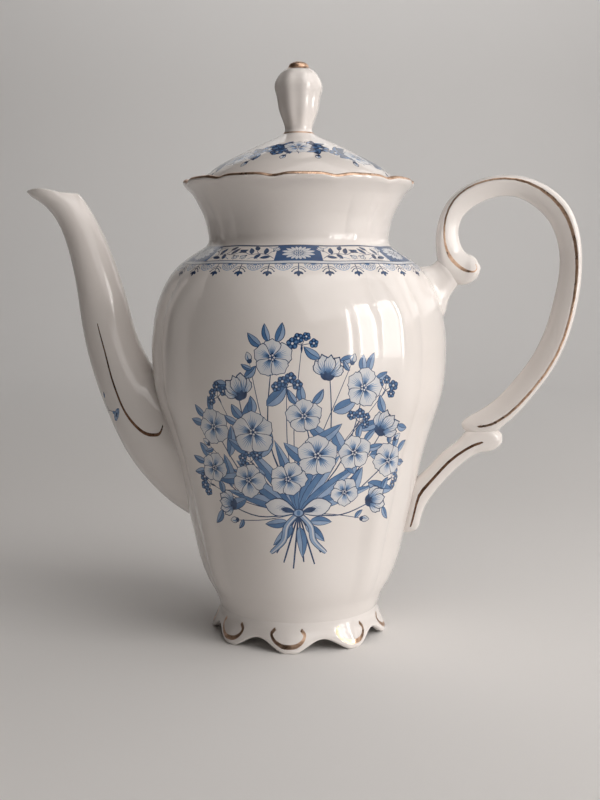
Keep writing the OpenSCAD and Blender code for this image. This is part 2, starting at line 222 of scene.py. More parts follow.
def blade(at, turn, length, width, belly=1.0, bend=0.0, sides=(1, 1), count=9):
    """Outline of a leaf or petal that grows from a place towards a turn in degrees. belly sets
    how far out it is widest and sides how much of its width lies left and right of its rib."""
    t = np.linspace(0, 1, count)
    half = (width / 2 * np.sin(np.pi * t**belly).clip(0) ** 0.8)[:, None]
    ahead, left = polar(1, turn), polar(1, turn + 90)
    rib = at + np.outer(t * length, ahead) + np.outer(bend * length * t * (1 - t), left)
    return np.r_[rib + half * left * sides[0], (rib - half * left * sides[1])[-2:0:-1]]


def rays(at, inner, outer, count, turn, dice):
    """Outline of a star of fine rays."""
    k = np.arange(2 * count)
    reach = np.array([1 if i % 2 else dice.uniform(0.8, 1.15) for i in k])
    r = np.where(k % 2, inner, outer) * reach
    a = k * math.pi / count + math.radians(turn)
    return at + np.c_[r * np.cos(a), r * np.sin(a)]


def disc(at, rx, ry=None, count=12):
    a = np.arange(count) * 2 * math.pi / count
    return at + np.c_[rx * np.cos(a), (ry or rx) * np.sin(a)]


def leaf(at, turn, length, width, bend=0.25):
    """A leaf with a fine outline, one dark half and a rib."""
    foot = at + polar(LINE, turn)
    inside = (foot, turn, length - 2.5 * LINE, width - 2 * LINE, 0.8, bend)
    rib = [foot] + [at + polar(length * x, turn) + polar(bend * length * y, turn + 90)
                    for x, y in ((0.5, 0.25), (0.92, 0.07))]
    return [(blade(at, turn, length, width, 0.8, bend), DARK), (blade(*inside), PALE),
            (blade(*inside, sides=(1, -0.08)), MID), (stroke(rib, LINE), DARK)]


def comb(at, turn, spread, inner, outer, dice, count=6):
    """Outline of fine rays that shade a petal from its foot, longest along its middle."""
    k = np.arange(2 * count + 1)
    off = (k / count - 1) * spread
    reach = np.where(k % 2, outer * (1 - 0.35 * (off / spread) ** 2), inner)
    reach = reach * np.array([dice.uniform(0.88, 1.08) for _ in k])
    a = np.radians(turn + off)
    return at + np.r_[[(0, 0)], np.c_[reach * np.cos(a), reach * np.sin(a)]]


def petal(at, turn, length, width, dice):
    """An outlined petal with a crinkled edge, shaded from its foot by fine lines."""
    edge = blade(at, turn, length, width, 1.5, dice.uniform(-0.12, 0.12), count=13)
    crinkle = 1 + 0.03 * np.array([(-1) ** i * (dice.random() > 0.3) for i in range(len(edge))])
    edge = at + (edge - at) * crinkle[:, None]
    middle = at + polar(0.55 * length, turn)
    fill = middle + (edge - middle) * (1 - 2.6 * LINE / width)
    shades = [(comb(at, turn, 24, 0.42 * length, 0.86 * length, dice), PALE),
              (comb(at, turn, 21, 0.3 * length, 0.66 * length, dice), MID),
              (comb(at, turn, 17, 0.2 * length, 0.44 * length, dice, 4), DARK)]
    return [(edge, DARK), (fill, TINT)] + shades


def blossom(at, r, turn, dice, petals=5):
    """An open flower."""
    made = []
    for k in range(petals):
        size = r * dice.uniform(0.9, 1.08)
        made += petal(at, turn + 360 / petals * k + dice.uniform(-6, 6), size,
                      5.2 / petals * size, dice)
    made.append((rays(at, 0.12 * r, 0.3 * r, 11, turn, dice), DARK))
    return made + [(disc(at + polar(0.11 * r, 72 * k), 0.05 * r, count=6), TINT)
                   for k in range(5)]


def bell(at, r, turn, dice):
    """A flower seen from its side, which opens towards a turn in degrees."""
    foot = at - polar(0.8 * r, turn)
    made = []
    for off, size in ((-46, 1.35), (46, 1.35), (-22, 1.6), (24, 1.55), (0, 1.5)):
        made += petal(foot, turn + off, size * r, 0.82 * r, dice)
    return made + [(blade(foot - polar(0.15 * r, turn), turn + off, 0.62 * r, 0.3 * r, 0.9), DARK)
                   for off in (-52, -18, 18, 52)]


def floret(at, r, turn):
    """A small dark five-petalled flower."""
    made = []
    for k in range(5):
        a = turn + 72 * k
        made += [(blade(at, a, r, 0.95 * r, 1.5), DARK),
                 (blade(at + polar(0.3 * r, a), a, 0.58 * r, 0.42 * r, 1.3), MID)]
    return made + [(disc(at, 0.2 * r, count=8), TINT)]


def bud(at, r, turn):
    """A closed bud in its cup."""
    made = [(blade(at, turn, 1.9 * r, 1.3 * r, 0.9), DARK),
            (blade(at + polar(LINE, turn), turn, 1.9 * r - 2 * LINE, 1.3 * r - 2 * LINE, 0.9),
             TINT),
            (blade(at, turn, 1.3 * r, 0.9 * r, 0.8, sides=(1, -0.1)), PALE),
            (stroke([at, at + polar(1.5 * r, turn + 6)], LINE), MID)]
    made += [(blade(at - polar(0.2 * r, turn), turn + off, 0.9 * r, 0.5 * r, 0.9), DARK)
             for off in (-28, 0, 28)]
    return made


# ---- Vessel ----

WAIST = WAIST_R, WAIST_Z = 35.2, 12.5
BELLY = 64.8, 126.0
NECK = NECK_R, NECK_Z = 39.2, 173.5
RIM_R, RIM_Z, LIP_T = 50.3, 199.1, 5.0
VALLEY = 1.6        # depth of the valleys between the panels
WALL, FLOOR_T = 4.0, 4.0
SEAT_Z, SEAT_R, MOUTH_R = 194.5, 43.3, 36.6
INNER = WAIST_R - WALL      # radius of the cavity at its floor
PANEL_A, PANEL_W = 48.75, 22.5          # the narrow panels, in degrees from front and back
CREASE_Z, CREASE_FADE = 140.0, 18.0     # soft valleys turn into creases over this stretch
CREASE_PULL = 0.08                      # how much nearer the front and back the creases lie
SIDE_SOFT = 0.35                        # softness of the valleys beside spout and handle
RIM_WAVES, RIM_TURN = 12, -6.0          # notches round the rim
RIM_DROP, RIM_IN = 0.9, 0.6             # how far a notch dips and draws in


def between(a, b, shape):
    """Profile points [radius, height, valley share, wave share], where shape gives the first two
    as shares of the way from a to b."""
    return [[a[0] + (b[0] - a[0]) * s[0], a[1] + (b[1] - a[1]) * s[1], *(*s[2:], 0, 0)[:2]]
            for s in shape]


LIP = (RIM_R, RIM_Z - 0.36 * LIP_T)
LOWER = [[0.07, 0.05, 0.1], [0.2, 0.11, 0.4], [0.305, 0.183, 0.7], [0.385, 0.27, 0.9],
         [0.51, 0.41, 1], [0.592, 0.507, 1], [0.683, 0.608, 1], [0.82, 0.727, 1],
         [0.918, 0.806, 1], [0.975, 0.885, 1]]
UPPER = [[0.02, 0.15, 1], [0.06, 0.31, 1], [0.125, 0.44, 0.9], [0.22, 0.56, 0.75],
         [0.33, 0.665, 0.5], [0.47, 0.755, 0.3], [0.63, 0.825, 0.2], [0.82, 0.893, 0.2],
         [0.96, 0.945, 0.25]]
UP_NECK = [[0.054, 0.171, 0.4], [0.135, 0.347, 0.35], [0.261, 0.49, 0.3], [0.414, 0.633, 0.2],
           [0.57, 0.767, 0.1], [0.75, 0.87, 0, 0.25], [0.93, 0.945, 0, 0.6]]
PROFILE = ([[*WAIST, 0, 0]] + between(WAIST, BELLY, LOWER) + [[*BELLY, 1, 0]]
           + between(BELLY, NECK, UPPER) + [[*NECK, 0.4, 0]] + between(NECK, LIP, UP_NECK)
           + [[*LIP, 0, 0.85]])
BODY_S, BODY_TABLE = along(PROFILE)
BODY_LEN = BODY_S[-1]


def body_r(z):
    return np.interp(z, BODY_TABLE[:, 1], BODY_TABLE[:, 0])


def body_s(z):
    """Length along the wall from the waist up to a height."""
    return np.interp(z, BODY_TABLE[:, 1], BODY_S)


def panel_dip(a, z=0.0):
    """Dip between panels at an angle in degrees: 0 on a panel's crown, 1 in a valley. Under the
    shoulder the valleys are creases; lower down those beside the front and back are soft."""
    high = np.clip((z - CREASE_Z) / CREASE_FADE, 0, 1)
    high = high**2 * (3 - 2 * high)
    b = np.abs(np.mod(a, 180) - 90)
    d = np.minimum(90, (90 - b) * (1 + CREASE_PULL * high))
    off = np.abs(d - PANEL_A)
    half = PANEL_W / 2
    t = np.where(off < half, off / half,
                 np.where(d < PANEL_A, d / (PANEL_A - half), (90 - d) / (90 - PANEL_A - half)))
    soft = np.where(d < PANEL_A, 1, SIDE_SOFT) * (1 - high)
    return t**2 * (1 - soft) + (1 - np.cos(np.pi * t)) / 2 * soft


def rim_dip(a):
    """Depth of the rim's waves at an angle in degrees: 1 at the bottom of a notch."""
    return ((1 + np.cos(np.radians((a - RIM_TURN) * RIM_WAVES))) / 2) ** 4


def ring(a, r, z):
    """Points at angles in radians from the front, towards the handle."""
    return np.stack([r * np.sin(a), -r * np.cos(a), z * np.ones_like(a)], -1)


def body_at(u, v):
    a = u / REF
    r, z, dip, wave = (np.interp(v, BODY_S, BODY_TABLE[:, k]) for k in range(4))
    turn = np.degrees(a)
    wave = wave * rim_dip(turn)
    return ring(a, r - VALLEY * dip * panel_dip(turn, z) - RIM_IN * wave, z - RIM_DROP * wave)


# Cross-section of the lip, from the wall over the crest down to the lid's seat:
# radius, height and share of the rim's waves
LIP_SHAPE = [[*LIP, 0.85]] + [[RIM_R - inwards, RIM_Z - down, wave] for inwards, down, wave in (
    (0, 1.2, 1), (0.35, 0.45, 1), (1.1, 0.08, 1), (2, 0, 1), (2.9, 0.2, 1), (3.8, 0.7, 1),
    (4.8, 1.6, 0.7))] + [[SEAT_R + 0.8, SEAT_Z + 2, 0.3], [SEAT_R, SEAT_Z + 1.2, 0]]
LIP_SCALE = 1.2
LIP_LEN = LIP_SCALE * (len(LIP_SHAPE) - 1)
GILT_RIM = (1.0 * LIP_SCALE, 4.4 * LIP_SCALE)      # painted part of the lip


def lip_at(u, v):
    a = u / REF
    p = spline(LIP_SHAPE, v / LIP_SCALE)
    dip = p[:, 2] * rim_dip(np.degrees(a))
    return ring(a, p[:, 0] - RIM_IN * dip, p[:, 1] - RIM_DROP * dip)


def revolved(s, profile):
    """A surface turned on the pot's axis, with its radius and height at lengths s."""
    def at(u, v):
        return ring(u / REF, np.interp(v, s, profile[:, 0]), np.interp(v, s, profile[:, 1]))

    return at


def skins(profile, us, **how):
    """One sheet for each straight stretch of a turned profile, so its corners stay crisp."""
    made = []
    for ends in zip(profile, profile[1:]):
        ends = np.asarray(ends, float)
        s = lengths(ends)
        made.append(sheet(revolved(s, ends), us, s, **how))
    return made


FRONT = 6.0         # angle in degrees of the middle of the front decor


def on_sheet(motif, angle, v0, radii, flip=1):
    """Place a motif on a sheet that runs round the pot; radii are v and radius tables."""
    placed = []
    for o, slot in motif:
        v = v0 + flip * o[:, 1]
        u = math.radians(angle) * REF + o[:, 0] * REF / np.interp(v, *radii)
        placed.append((np.c_[u, v], slot))
    return placed


SWAY, SWAYS = 0.25, 10      # how far and how often a painted band runs up and down


def band(low, high, slot):
    """A painted strip that runs right round the pot."""
    u = ROUND_POT
    sway = SWAY * np.sin(u / REF * SWAYS + 0.6)
    return np.r_[np.c_[u, low + sway], np.c_[u, high + sway][::-1]], slot


def pendant():
    """Hanging trefoil of the lace edge."""
    made = [(stroke([(0, 0.2), (0, -3.6)], 0.4, 0.7), DARK),
            (blade((0, -3.4), -90, 3.2, 1.5, 1.1), DARK)]
    for side in (-1, 1):
        made += [(blade((0, -3.9), -90 + side * 50, 2.5, 1.1, 1.2), DARK),
                 (stroke([(0, -2.2), (side * 1.5, -2.9), (side * 2.6, -4.1)], 0.38), DARK),
                 (stroke([(0, -1.3), (side * 1.7, -1.9), (side * 2.9, -2.9)], 0.3), DARK),
                 (disc((side * 2.6, -4.1), 0.34, count=8), DARK)]
    return made


def fan():
    """Half a rosette that hangs between two pendants."""
    foot = (0, 0.4)
    made = [(disc((0, 0.2), 3.7, 3.9, 28), PALE), (disc((0, 0.3), 3.45, 3.6, 28), WHITE)]
    for k in range(7):
        a = -90 + (k - 3) * 25
        made += [(blade(foot, a, 3.5, 1.35, 1.5), MID),
                 (blade(foot + polar(0.7, a), a, 2.5, 0.8, 1.4), WHITE)]
    made.append((disc((0, 0.2), 0.9, 0.8, 10), MID))
    return made


def rosette():
    """White flower of narrow petals on a blue panel."""
    made = []
    for k in range(16):
        a = 22.5 * k + 11.25
        reach = 1 / math.hypot(math.cos(math.radians(a)) / 6.9, math.sin(math.radians(a)) / 4.7)
        made.append((blade(polar(1.5, a), a, reach - 1.5, 0.5 + 0.16 * reach, 1.3), TINT))
    made += [(disc((0, 0), 1.6, 1.5, 14), TINT), (disc((0, 0), 1.2, 1.1, 12), COBALT)]
    return made + [(disc(polar(0.62, 90 * k + 45), 0.36, count=6), TINT) for k in range(4)]


def tulip(at, turn, size=1.0):
    """Outlined flower cup."""
    made = []
    for off, length in ((-26, 3.6), (26, 3.6), (0, 4.0)):
        made += [(blade(at, turn + off, size * length, size * 2.0, 1.1), DARK),
                 (blade(at + polar(0.25, turn + off), turn + off, size * length - 0.5,
                        size * 2.0 - 0.45, 1.1), TINT)]
    return made + [(disc(at, 0.5, count=8), DARK)]


def border_twig():
    """Twig with dark leaves and outlined cups that fills half a white panel."""
    made = [(stroke([(-8, -4.2), (-4.6, -1.6), (-0.6, -0.6), (3.2, -1.2), (7.2, 1.6)], 0.4), DARK),
            (stroke([(-4.6, -1.6), (-5.4, 0.4), (-7, 1.4)], 0.32), DARK),
            (stroke([(-0.6, -0.6), (0.6, 1.2), (0.2, 2.4)], 0.32), DARK),
            (stroke([(-8, 4.4), (-5.4, 3.4), (-3.2, 4.4)], 0.3), MID),
            (stroke([(-1.6, -4.6), (1.2, -3.4), (3.4, -4.6)], 0.3), MID)]
    made += tulip((-6.4, 1.2), 118, 0.85) + tulip((4.6, -2.0), -40, 0.8)
    for x, y, turn, length in (
            (-6.2, -3.0, -10, 4.4), (-3.6, -1.2, 78, 5.0), (-1.4, -0.8, -66, 4.0),
            (0.4, 1.8, 58, 3.6), (2.4, -1.0, 68, 5.0), (5.4, 0.2, 30, 4.2)):
        made.append((blade((x, y), turn, length, 2.15, 0.9, 0.15), DARK))
    return made


BAND_V = body_s(163.4) + 1.0        # foot of the panels
BAND_TOP = body_s(170)
LACE_V = BAND_V - 2.2               # line that the lace hangs from
PANELS, PENDANTS = 6, 28
PANEL_HALF = 11.3       # half the width of a blue panel in degrees
TWIG_A = PANEL_HALF + 9.6           # angle between a blue panel's middle and a twig's


def border():
    """Border round the shoulder: blue and white panels between lines, over a lace edge."""
    made = []
    for k in range(PENDANTS):
        a = FRONT + 360 / PENDANTS * k
        made += on_sheet(fan(), a + 180 / PENDANTS, LACE_V, RADII)
        made += on_sheet(pendant(), a, LACE_V, RADII)
    made += [band(LACE_V, BAND_TOP + 0.5, DARK), band(LACE_V + 0.45, BAND_V - 0.4, TINT),
             band(BAND_V, BAND_TOP - 0.4, WHITE)]
    mid = (BAND_V + BAND_TOP) / 2
    steps = np.radians(np.linspace(-PANEL_HALF, PANEL_HALF, 12)) * REF
    for k in range(PANELS):
        a = FRONT + 360 / PANELS * k
        u = steps + math.radians(a) * REF
        made.append((np.r_[np.c_[u, 0 * u + BAND_V - 0.2], np.c_[u, 0 * u + BAND_TOP][::-1]],
                     COBALT))
        made += on_sheet(rosette(), a, mid, RADII)
        for side in (-1, 1):
            twig = [(o * [side, 1], slot) for o, slot in border_twig()]
            made += on_sheet(twig, a + side * TWIG_A, mid, RADII)
    return made


# Flowers of the bouquet: lean from upright in degrees, length of the stem, radius, and whether
# it is seen from its side
FLOWERS = [
    (-86, 34, 6.0, True), (-66, 44, 7.4, False), (-46, 54, 8.4, False), (-25, 62, 6.6, True),
    (-9, 69, 8.4, False), (11, 66, 6.4, True), (27, 62, 8.8, False), (46, 56, 7.0, True),
    (63, 47, 8.2, False), (84, 37, 6.2, True), (-57, 26, 8.0, False), (-28, 41, 10.2, False),
    (3, 44, 7.8, False), (17, 27, 9.6, False), (43, 36, 8.4, False), (67, 22, 6.8, False),
    (-16, 16, 7.8, False),
]
# Sprays and buds between them: lean, length and kind
SPRAYS = [
    (-77, 44, 0), (-56, 53, 1), (-35, 62, 0), (-17, 71, 1), (1, 73, 0), (19, 71, 1), (36, 66, 0),
    (55, 56, 1), (74, 46, 0), (-100, 30, 1), (99, 31, 1), (-5, 56, 0), (-42, 30, 0), (33, 48, 0),
]
TIE = np.array([0.0, -26.0])


def bouquet():
    """A loose bunch of garden flowers tied with a ribbon."""
    dice = random.Random(11)
    stems, leaves, small, flowers = [], [], [], []
    for lean in (-76, -58, -38, -17, 7, 24, 35, 53, 74):
        a = 90 - lean
        leaves += leaf(TIE, a, dice.uniform(30, 40), 5.6, -0.14 if lean < 0 else 0.14)
    for lean, length, r, sideways in FLOWERS:
        turn = 90 - lean
        end = TIE + polar(length, turn)
        bow = polar(0.1 * length, turn + (90 if lean < 0 else -90))
        stems.append((stroke([TIE, TIE + polar(0.5 * length, turn) + bow, end], 0.55), DARK))
        flowers += (bell(end, r, turn, dice) if sideways
                    else blossom(end, r, dice.uniform(0, 72), dice))
        for share, side in ((0.52, 1), (0.72, -1)) if length > 38 else ():
            at = TIE + polar(share * length, turn) + bow * 4 * share * (1 - share)
            leaves += leaf(at, turn + side * dice.uniform(38, 60), dice.uniform(12, 16),
                           dice.uniform(4.8, 6), 0.2 * side)
        if length > 33:
            for off in (-31, 4, 33) if not sideways else (-64, 60):
                a = turn + off + dice.uniform(-7, 7)
                leaves += leaf(end + polar(0.75 * r, a), a, dice.uniform(6.5, 9),
                               dice.uniform(3.2, 4.4), 0.25 if off > 0 else -0.25)
    for lean, length, kind in SPRAYS:
        turn = 90 - lean
        end = TIE + polar(length, turn)
        stems.append((stroke([TIE, TIE + polar(0.5 * length, turn + 4), end], 0.38), DARK))
        if kind:
            small += bud(end - polar(2, turn), 2.4, turn)
            small += leaf(end - polar(5, turn), turn + 50, 5.5, 2.4)
            continue
        for k in range(4):
            tip = end + polar(dice.uniform(3.2, 5), turn + (k - 1.5) * 52)
            small.append((stroke([end - polar(3, turn), end, tip], 0.3), DARK))
            small += floret(tip, dice.uniform(1.9, 2.6), dice.uniform(0, 72))
    for lean, length in ((-34, 21), (-20, 25), (-7, 23), (6, 26), (19, 24), (33, 21)):
        stems.append((stroke([TIE, TIE - polar(length, 90 - 0.8 * lean)], 0.75, 0.8), DARK))
    for lean, length in ((-27, 12), (24, 13), (-3, 15), (-50, 10), (48, 10)):
        leaves += leaf(TIE - polar(6, 90 - lean), 270 - 1.7 * lean, length, 4.4, 0.15)
    ribbon = []
    for side in (-1, 1):
        a = 90 - side * 76
        ribbon += [(blade(TIE, a, 15, 8.6, 1.3, 0.12 * side), DARK),
                   (blade(TIE + polar(0.8, a), a, 13.7, 7.6, 1.3, 0.12 * side), TINT),
                   (comb(TIE, a, 13, 5, 11, dice), MID),
                   (blade(TIE + polar(1.2, a), a, 6.5, 2.4, 1.2, 0.12 * side), DARK)]
        tail = [TIE, TIE + (side * 5, -6), TIE + (side * 6.5, -13), TIE + (side * 12, -19)]
        ribbon += [(stroke(tail, 2.9, 0.5), DARK), (stroke(tail, 2.2, 0.4), PALE),
                   (stroke(np.add(tail, (0.4, 0)), 0.6), TINT)]
    knot = [(disc(TIE, 2.4, 2.0), DARK), (disc(TIE, 1.9, 1.5), PALE), (disc(TIE, 0.8, 1.2), MID)]
    return stems + leaves + small + flowers + ribbon + knot


RADII = (BODY_S, BODY_TABLE[:, 0])
BOUQUET_SIZE, BOUQUET_Z = 0.96, 87.0
PAINT_BODY = border()
posy = [(o * BOUQUET_SIZE, slot) for o, slot in bouquet()]
for turn in (0, 180):
    PAINT_BODY += on_sheet(posy, FRONT + turn, body_s(BOUQUET_Z), RADII)

# ---- Materials ----


def wire(tree, node, **inputs):
    """Set or link a node's inputs, with an underscore for each space in a name."""
    for name, value in inputs.items():
        socket = node.inputs[name.replace("_", " ")]
        if isinstance(value, bpy.types.NodeSocket):
            tree.links.new(value, socket)
        elif value is not None:
            socket.default_value = value
    return node


def new_material(name, colour, roughness, metallic=0.0):
    """A material, its node tree and its shader."""
    m = bpy.data.materials.new(name)
    m.use_nodes = True
    bsdf = m.node_tree.nodes["Principled BSDF"]
    return m, m.node_tree, wire(m.node_tree, bsdf, Base_Color=(*colour, 1), Roughness=roughness,
                                Metallic=metallic)


def noise(tree, where, scale, detail):
    node = tree.nodes.new("ShaderNodeTexNoise")
    return wire(tree, node, Scale=scale, Detail=detail, Vector=where).outputs["Fac"]


def ramp(tree, value, *stops):
    """The colour between two stops (place, colour)."""
    node = wire(tree, tree.nodes.new("ShaderNodeValToRGB"), Fac=value)
    for element, (place, colour) in zip(node.color_ramp.elements, stops):
        element.position, element.color = place, (*colour, 1)
    return node.outputs["Color"]


def bump(tree, height, strength, distance, under=None):
    node = tree.nodes.new("ShaderNodeBump")
    return wire(tree, node, Strength=strength, Distance=distance, Height=height,
                Normal=under).outputs["Normal"]


def glaze(name, cloud, *stops):
    """A clear glossy glaze over a colour that clouds between two stops."""
    m, tree, bsdf = new_material(name, stops[0][1], 0.12)
    where = tree.nodes.new("ShaderNodeTexCoord").outputs["Object"]
    wire(tree, bsdf, Base_Color=ramp(tree, noise(tree, where, cloud, 4), *stops), IOR=1.5,
         Coat_Weight=0.35, Coat_Roughness=0.04)
    smear = ramp(tree, noise(tree, where, 60, 3), (0.35, (0.09,) * 3), (0.7, (0.16,) * 3))
    flow = bump(tree, noise(tree, where, 28, 2), 0.12, 0.0005)
    pores = bump(tree, noise(tree, where, 420, 2), 0.08, 0.0002, flow)
    wire(tree, bsdf, Roughness=smear, Normal=pores)
    return m


def gilding(name, *stops):
    """Burnished gold with the fine unevenness of brushwork."""
    m, tree, bsdf = new_material(name, stops[1][1], 0.3, 1.0)
    where = tree.nodes.new("ShaderNodeTexCoord").outputs["Object"]
    colour = ramp(tree, noise(tree, where, 500, 3), *stops)
    smear = ramp(tree, noise(tree, where, 300, 2), (0.3, (0.24,) * 3), (0.7, (0.44,) * 3))
    wire(tree, bsdf, Base_Color=colour, Roughness=smear,
         Normal=bump(tree, noise(tree, where, 900, 2), 0.2, 0.0002))
    return m


FINISHES = [        # in the order of the slots
    glaze("porcelain_glaze", 14, (0.3, (0.80, 0.75, 0.715)), (0.7, (0.86, 0.82, 0.79))),
    glaze("blue_line", 260, (0.35, (0.014, 0.036, 0.10)), (0.7, (0.03, 0.08, 0.19))),
    glaze("blue_ground", 90, (0.3, (0.016, 0.06, 0.175)), (0.7, (0.03, 0.10, 0.25))),
    glaze("blue_wash", 180, (0.3, (0.06, 0.15, 0.32)), (0.7, (0.12, 0.235, 0.43))),
    glaze("blue_shade", 150, (0.3, (0.21, 0.32, 0.50)), (0.7, (0.34, 0.44, 0.61))),
    glaze("blue_tint", 120, (0.3, (0.60, 0.62, 0.66)), (0.7, (0.73, 0.73, 0.745))),
    gilding("gilt_line", (0.3, (0.44, 0.27, 0.18)), (0.65, (0.74, 0.52, 0.38))),
    # The darker copy of the gilt is painted shade: it stands in for the dark reflection that the
    # gold lines on the spout and bracket show.
    gilding("gilt_line_painted_dark", (0.3, (0.10, 0.05, 0.03)), (0.65, (0.26, 0.14, 0.085))),
]

# ---- Vessel piece ----

CAVITY_LOW = WAIST_Z + FLOOR_T
LEDGE_H = 6         # height of the ledge that carries the lid
COVE_TOP, COVE_H, COVE_IN = 6.0, 1.5, 5.0       # the cavity's rounded lower corner
CAVITY = np.array([[p[0] - WALL, p[1]] for p in BODY_TABLE[::-1]
                   if CAVITY_LOW + COVE_TOP <= p[1] <= NECK_Z])
CAVITY_S = lengths(CAVITY)
cavity_at = revolved(CAVITY_S, CAVITY)

HOLE_R, HOLE_PITCH, HOLE_Z = 1.8, 7.5, 80.0
HOLES = [(0.0, 0.0)] + [tuple(polar(HOLE_PITCH, 60 * k)) for k in range(6)]
HOLE_TURNS = np.linspace(0, 2 * math.pi, 25)


def hole_edge(hole, a, profile, s):
    """Edge of a strainer hole, at angles in radians round it, on the sheet over a profile."""
    y, z = hole[0] + HOLE_R * np.cos(a), HOLE_Z + hole[1] + HOLE_R * np.sin(a)
    up = np.argsort(profile[:, 1])
    r = np.interp(z, profile[up, 1], profile[up, 0])
    return -HALF_TURN / 2 - np.arcsin(y / r) * REF, np.interp(z, profile[up, 1], s[up])


def strainer_bore(hole):
    """Wall of one strainer hole, from the outside of the pot to its cavity."""
    def at(u, v):
        out = body_at(*hole_edge(hole, u, BODY_TABLE, BODY_S))
        into = cavity_at(*hole_edge(hole, u, CAVITY, CAVITY_S))
        return out + (into - out) * v[:, None]

    return sheet(at, HOLE_TURNS, [0, 1], inward=True)


def pierced(profile, s):
    """Outlines of the strainer holes on the sheet over a profile."""
    return [(np.stack(hole_edge(h, HOLE_TURNS[:-1], profile, s), 1), HOLE) for h in HOLES]


body_sheets = [strainer_bore(h) for h in HOLES] + [
    sheet(body_at, ROUND_POT, np.linspace(0, BODY_LEN, 100),
          PAINT_BODY + pierced(BODY_TABLE, BODY_S)),
    sheet(lip_at, ROUND_POT, np.linspace(0, GILT_RIM[0], 5)),
    sheet(lip_at, ROUND_POT, np.linspace(*GILT_RIM, 9), slot=GILT),
    sheet(lip_at, ROUND_POT, np.linspace(GILT_RIM[1], LIP_LEN, 16)),
    sheet(cavity_at, ROUND_POT, np.linspace(0, CAVITY_S[-1], 60), pierced(CAVITY, CAVITY_S)),
]
body_sheets += skins([[SEAT_R, SEAT_Z + 1.2], [SEAT_R, SEAT_Z], [MOUTH_R, SEAT_Z],
                      [MOUTH_R, SEAT_Z - LEDGE_H], [NECK_R - WALL, NECK_Z]], ROUND_POT)
body_sheets += skins([CAVITY[-1], [INNER, CAVITY_LOW + COVE_H],
                      [INNER - COVE_IN, CAVITY_LOW], [0, CAVITY_LOW]], ROUND_POT)
body_sheets += skins([[0, WAIST_Z], [WAIST_R, WAIST_Z]], ROUND_POT)
make_piece("glazed_vessel", body_sheets, ["pot_body"], "pot")

# ---- Foot ----

FOOT_R, SCALLOPS, ARCH_H, HEM_T, FLAT_SHARE = 38.9, 8, 5.2, 2.6, 0.07
FLARE = FOOT_R - WAIST_R
# Radius, height, share of the arches' lift, pull-in at the arches
FOOT_OUT = [[WAIST_R + out * FLARE, WAIST_Z * up, lift, pull] for out, up, lift, pull in (
    (0, 1, 0, 0), (0.08, 0.84, 0.05, 0.3), (0.3, 0.66, 0.2, 1.0), (0.62, 0.46, 0.45, 1.8),
    (0.88, 0.27, 0.68, 2.3))] + [
    [FOOT_R, WAIST_Z * 0.12, 0.85, 2.5], [FOOT_R - 0.25, WAIST_Z * 0.04, 0.95, 2.5],
    [FOOT_R - 0.8, 0, 1, 2.4]]
FOOT_IN = [[FOOT_R - HEM_T, 0, 1, 2.1], [FOOT_R - HEM_T - 0.8, WAIST_Z * 0.1, 0.9, 1.9],
           [INNER + 1.5, WAIST_Z * 0.5, 0.3, 0.4], [INNER, WAIST_Z * 0.8, 0, 0],
           [INNER, WAIST_Z, 0, 0]]
FOOT_SCALE = 2.0


def foot_surface(shape):
    """The scalloped skirt along one of its profiles."""
    def at(u, v):
        a = u / REF
        share = (1 - np.cos(SCALLOPS * a)) / 2
        lift = ARCH_H * np.maximum(0, share - FLAT_SHARE) / (1 - FLAT_SHARE)
        p = spline(shape, v / FOOT_SCALE)
        return ring(a, p[:, 0] - p[:, 3] * share, p[:, 1] + p[:, 2] * lift)

    return at


FOOT_OUT_LEN, FOOT_IN_LEN = FOOT_SCALE * (len(FOOT_OUT) - 1), FOOT_SCALE * (len(FOOT_IN) - 1)
HORSESHOE = np.array([(-8.6, 2.8), (-10.8, 5.2), (-8.4, 7.6), (-1, 8.4), (6.4, 7.6), (8.8, 5.2),
                      (6.6, 2.8)])
PAINT_FOOT = [(stroke(HORSESHOE + [2 * HALF_TURN / SCALLOPS * k, 0], 1.8, 0.75), GILT)
              for k in range(SCALLOPS)]
foot_sheets = [
    sheet(foot_surface(FOOT_OUT), ROUND_POT, np.linspace(0, FOOT_OUT_LEN, 29), PAINT_FOOT,
          inward=True),
    sheet(foot_surface([FOOT_OUT[-1], FOOT_IN[0]]), ROUND_POT, [0, FOOT_SCALE], inward=True),
    sheet(foot_surface(FOOT_IN), ROUND_POT, np.linspace(0, FOOT_IN_LEN, 17), inward=True),
]
foot_sheets += skins([[INNER, WAIST_Z], [WAIST_R, WAIST_Z]], ROUND_POT, inward=True)
make_piece("glazed_foot", foot_sheets, ["foot_ring"], "pot")

# ---- Spout ----

# Sections from the lip to the wall: how far out and how high their lower and upper points lie,
# and half their width. The root in the wall follows them.
SPOUT = [
    [122.2, 195.2, 98.2, 193.7, 7.2], [120.2, 192.9, 97.2, 192.6, 7.8],
    [114.6, 189.9, 95.6, 190.6, 8.2], [109.4, 184.3, 93.6, 187.2, 8.4],
    [106, 178, 90.8, 182.6, 8.7], [103.2, 169.5, 87.4, 176, 9.1], [101, 160, 84.2, 168.3, 9.6],
    [99.5, 151.5, 81.4, 160.5, 10.1], [98.4, 142.5, 78.6, 151.7, 10.7],
    [97.2, 133.6, 76.1, 142.4, 11.4], [95.2, 124, 74, 133.2, 12.3], [92.4, 114, 71.2, 126.8, 13.5],
    [88.8, 103.5, 68.6, 121.5, 15], [83.8, 91.5, 66.9, 118.8, 16.6], [77, 77.5, 66.2, 117.6, 18],
    [67.5, 65.5, 65.8, 117.2, 19], [57.5, 56, 65.4, 117, 19.7],
]
SPOUT_T, SPOUT_TOP_Z, SPOUT_LOW_Z, SPOUT_W = 2.4, 117.0, 50.0, 40.0
ROOT_EGG, ROOT_SUNK = 0.12, 0.75        # how much wider the root is below, and how deep it sits
LIP_LIFT = 1.2
ROUND = 60.0        # width of a sheet that runs round a spout or handle
TALL = 9.0          # height of a sheet for each section of it
